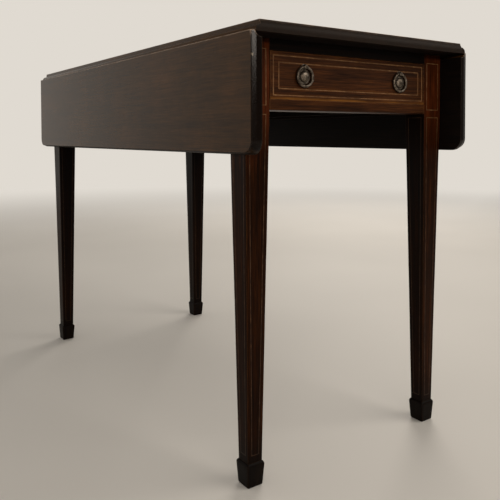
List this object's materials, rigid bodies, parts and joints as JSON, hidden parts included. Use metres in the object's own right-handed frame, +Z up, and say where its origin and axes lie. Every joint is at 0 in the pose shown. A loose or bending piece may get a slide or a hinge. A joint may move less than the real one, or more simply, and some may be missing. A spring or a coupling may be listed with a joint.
{
  "type": "pembroke table",
  "caption": "Long pembroke table with hanging rule-jointed leaves, fly brackets, an end drawer with ring pulls, inlaid string lines and square tapered legs on spade feet.",
  "frame": {"origin": "on the floor under the middle of the table top", "axes": "+Z up, +Y along the leaves towards the dummy drawer end, +X to the right leaf seen from the drawer"},
  "size_m": [0.483, 1.006, 0.711],
  "materials": {
    "mahogany": "french polished",
    "ebonised_mahogany": "ebonised, polished",
    "boxwood_stringing": "polished",
    "oak_lining": "raw",
    "beech_rails": "raw",
    "antique_brass": "aged",
    "wrought_iron": "blackened",
    "steel_screws": "dull"
  },
  "bodies": {
    "frame": {"centre_top": "mahogany", "front_left_leg": "mahogany", "front_left_foot": "ebonised_mahogany", "front_left_leg_stringing": "boxwood_stringing", "front_right_leg": "mahogany", "front_right_foot": "ebonised_mahogany", "front_right_leg_stringing": "boxwood_stringing", "back_left_leg": "mahogany", "back_left_foot": "ebonised_mahogany", "back_left_leg_stringing": "boxwood_stringing", "back_right_leg": "mahogany", "back_right_foot": "ebonised_mahogany", "back_right_leg_stringing": "boxwood_stringing", "left_side_rail": "beech_rails", "left_fly_rail": "beech_rails", "left_fly_pin": "wrought_iron", "left_hinge_top_flaps": "wrought_iron", "left_hinge_pins": "wrought_iron", "left_hinge_top_screws": "steel_screws", "right_side_rail": "beech_rails", "right_fly_rail": "beech_rails", "right_fly_pin": "wrought_iron", "right_hinge_top_flaps": "wrought_iron", "right_hinge_pins": "wrought_iron", "right_hinge_top_screws": "steel_screws", "drawer_upper_rail": "mahogany", "drawer_lower_rail": "mahogany", "back_end_rail": "mahogany", "back_end_stringing": "boxwood_stringing", "drawer_runners": "oak_lining", "drawer_guides": "oak_lining", "drawer_kickers": "oak_lining", "drawer_stops": "oak_lining", "top_glue_blocks": "oak_lining", "top_screws": "steel_screws", "dummy_pull_plates": "antique_brass", "dummy_pull_posts": "antique_brass", "dummy_pull_nuts": "antique_brass"},
    "drawer": {"drawer_front": "mahogany", "drawer_stringing": "boxwood_stringing", "drawer_left_side": "oak_lining", "drawer_right_side": "oak_lining", "drawer_back": "oak_lining", "drawer_bottom": "oak_lining", "drawer_pull_plates": "antique_brass", "drawer_pull_posts": "antique_brass", "drawer_pull_nuts": "antique_brass"},
    "left_leaf": {"left_leaf": "mahogany", "left_hinge_leaf_flaps": "wrought_iron", "left_hinge_leaf_screws": "steel_screws"},
    "left_fly_bracket": {"left_fly_bracket": "beech_rails"},
    "drawer_left_ring": {"drawer_left_ring": "antique_brass"},
    "dummy_left_ring": {"dummy_left_ring": "antique_brass"},
    "right_leaf": {"right_leaf": "mahogany", "right_hinge_leaf_flaps": "wrought_iron", "right_hinge_leaf_screws": "steel_screws"},
    "right_fly_bracket": {"right_fly_bracket": "beech_rails"},
    "drawer_right_ring": {"drawer_right_ring": "antique_brass"},
    "dummy_right_ring": {"dummy_right_ring": "antique_brass"}
  },
  "joints": [
    {"name": "left_leaf_hinge", "type": "hinge", "parent": "frame", "child": "left_leaf", "pos_m": [-0.2255, 0, 0.695], "axis": [0, 1, 0], "range_deg": [0, 90]},
    {"name": "right_leaf_hinge", "type": "hinge", "parent": "frame", "child": "right_leaf", "pos_m": [0.2255, 0, 0.695], "axis": [0, -1, 0], "range_deg": [0, 90]},
    {"name": "drawer_slide", "type": "slide", "parent": "frame", "child": "drawer", "axis": [0, -1, 0], "range_m": [0, 0.3]},
    {"name": "drawer_left_ring_lift", "type": "hinge", "parent": "drawer", "child": "drawer_left_ring", "pos_m": [-0.10943, -0.4604, 0.6526], "axis": [-1, 0, 0], "range_deg": [0, 90]},
    {"name": "dummy_left_ring_lift", "type": "hinge", "parent": "frame", "child": "dummy_left_ring", "pos_m": [-0.10943, 0.4604, 0.6526], "axis": [1, 0, 0], "range_deg": [0, 90]},
    {"name": "drawer_right_ring_lift", "type": "hinge", "parent": "drawer", "child": "drawer_right_ring", "pos_m": [0.10943, -0.4604, 0.6526], "axis": [-1, 0, 0], "range_deg": [0, 90]},
    {"name": "dummy_right_ring_lift", "type": "hinge", "parent": "frame", "child": "dummy_right_ring", "pos_m": [0.10943, 0.4604, 0.6526], "axis": [1, 0, 0], "range_deg": [0, 90]},
    {"name": "left_fly_swing", "type": "hinge", "parent": "frame", "child": "left_fly_bracket", "pos_m": [-0.208, -0.085, 0.6425], "axis": [0, 0, 1], "range_deg": [0, 1.9]},
    {"name": "right_fly_swing", "type": "hinge", "parent": "frame", "child": "right_fly_bracket", "pos_m": [0.208, -0.085, 0.6425], "axis": [0, 0, -1], "range_deg": [0, 1.9]}
  ]
}
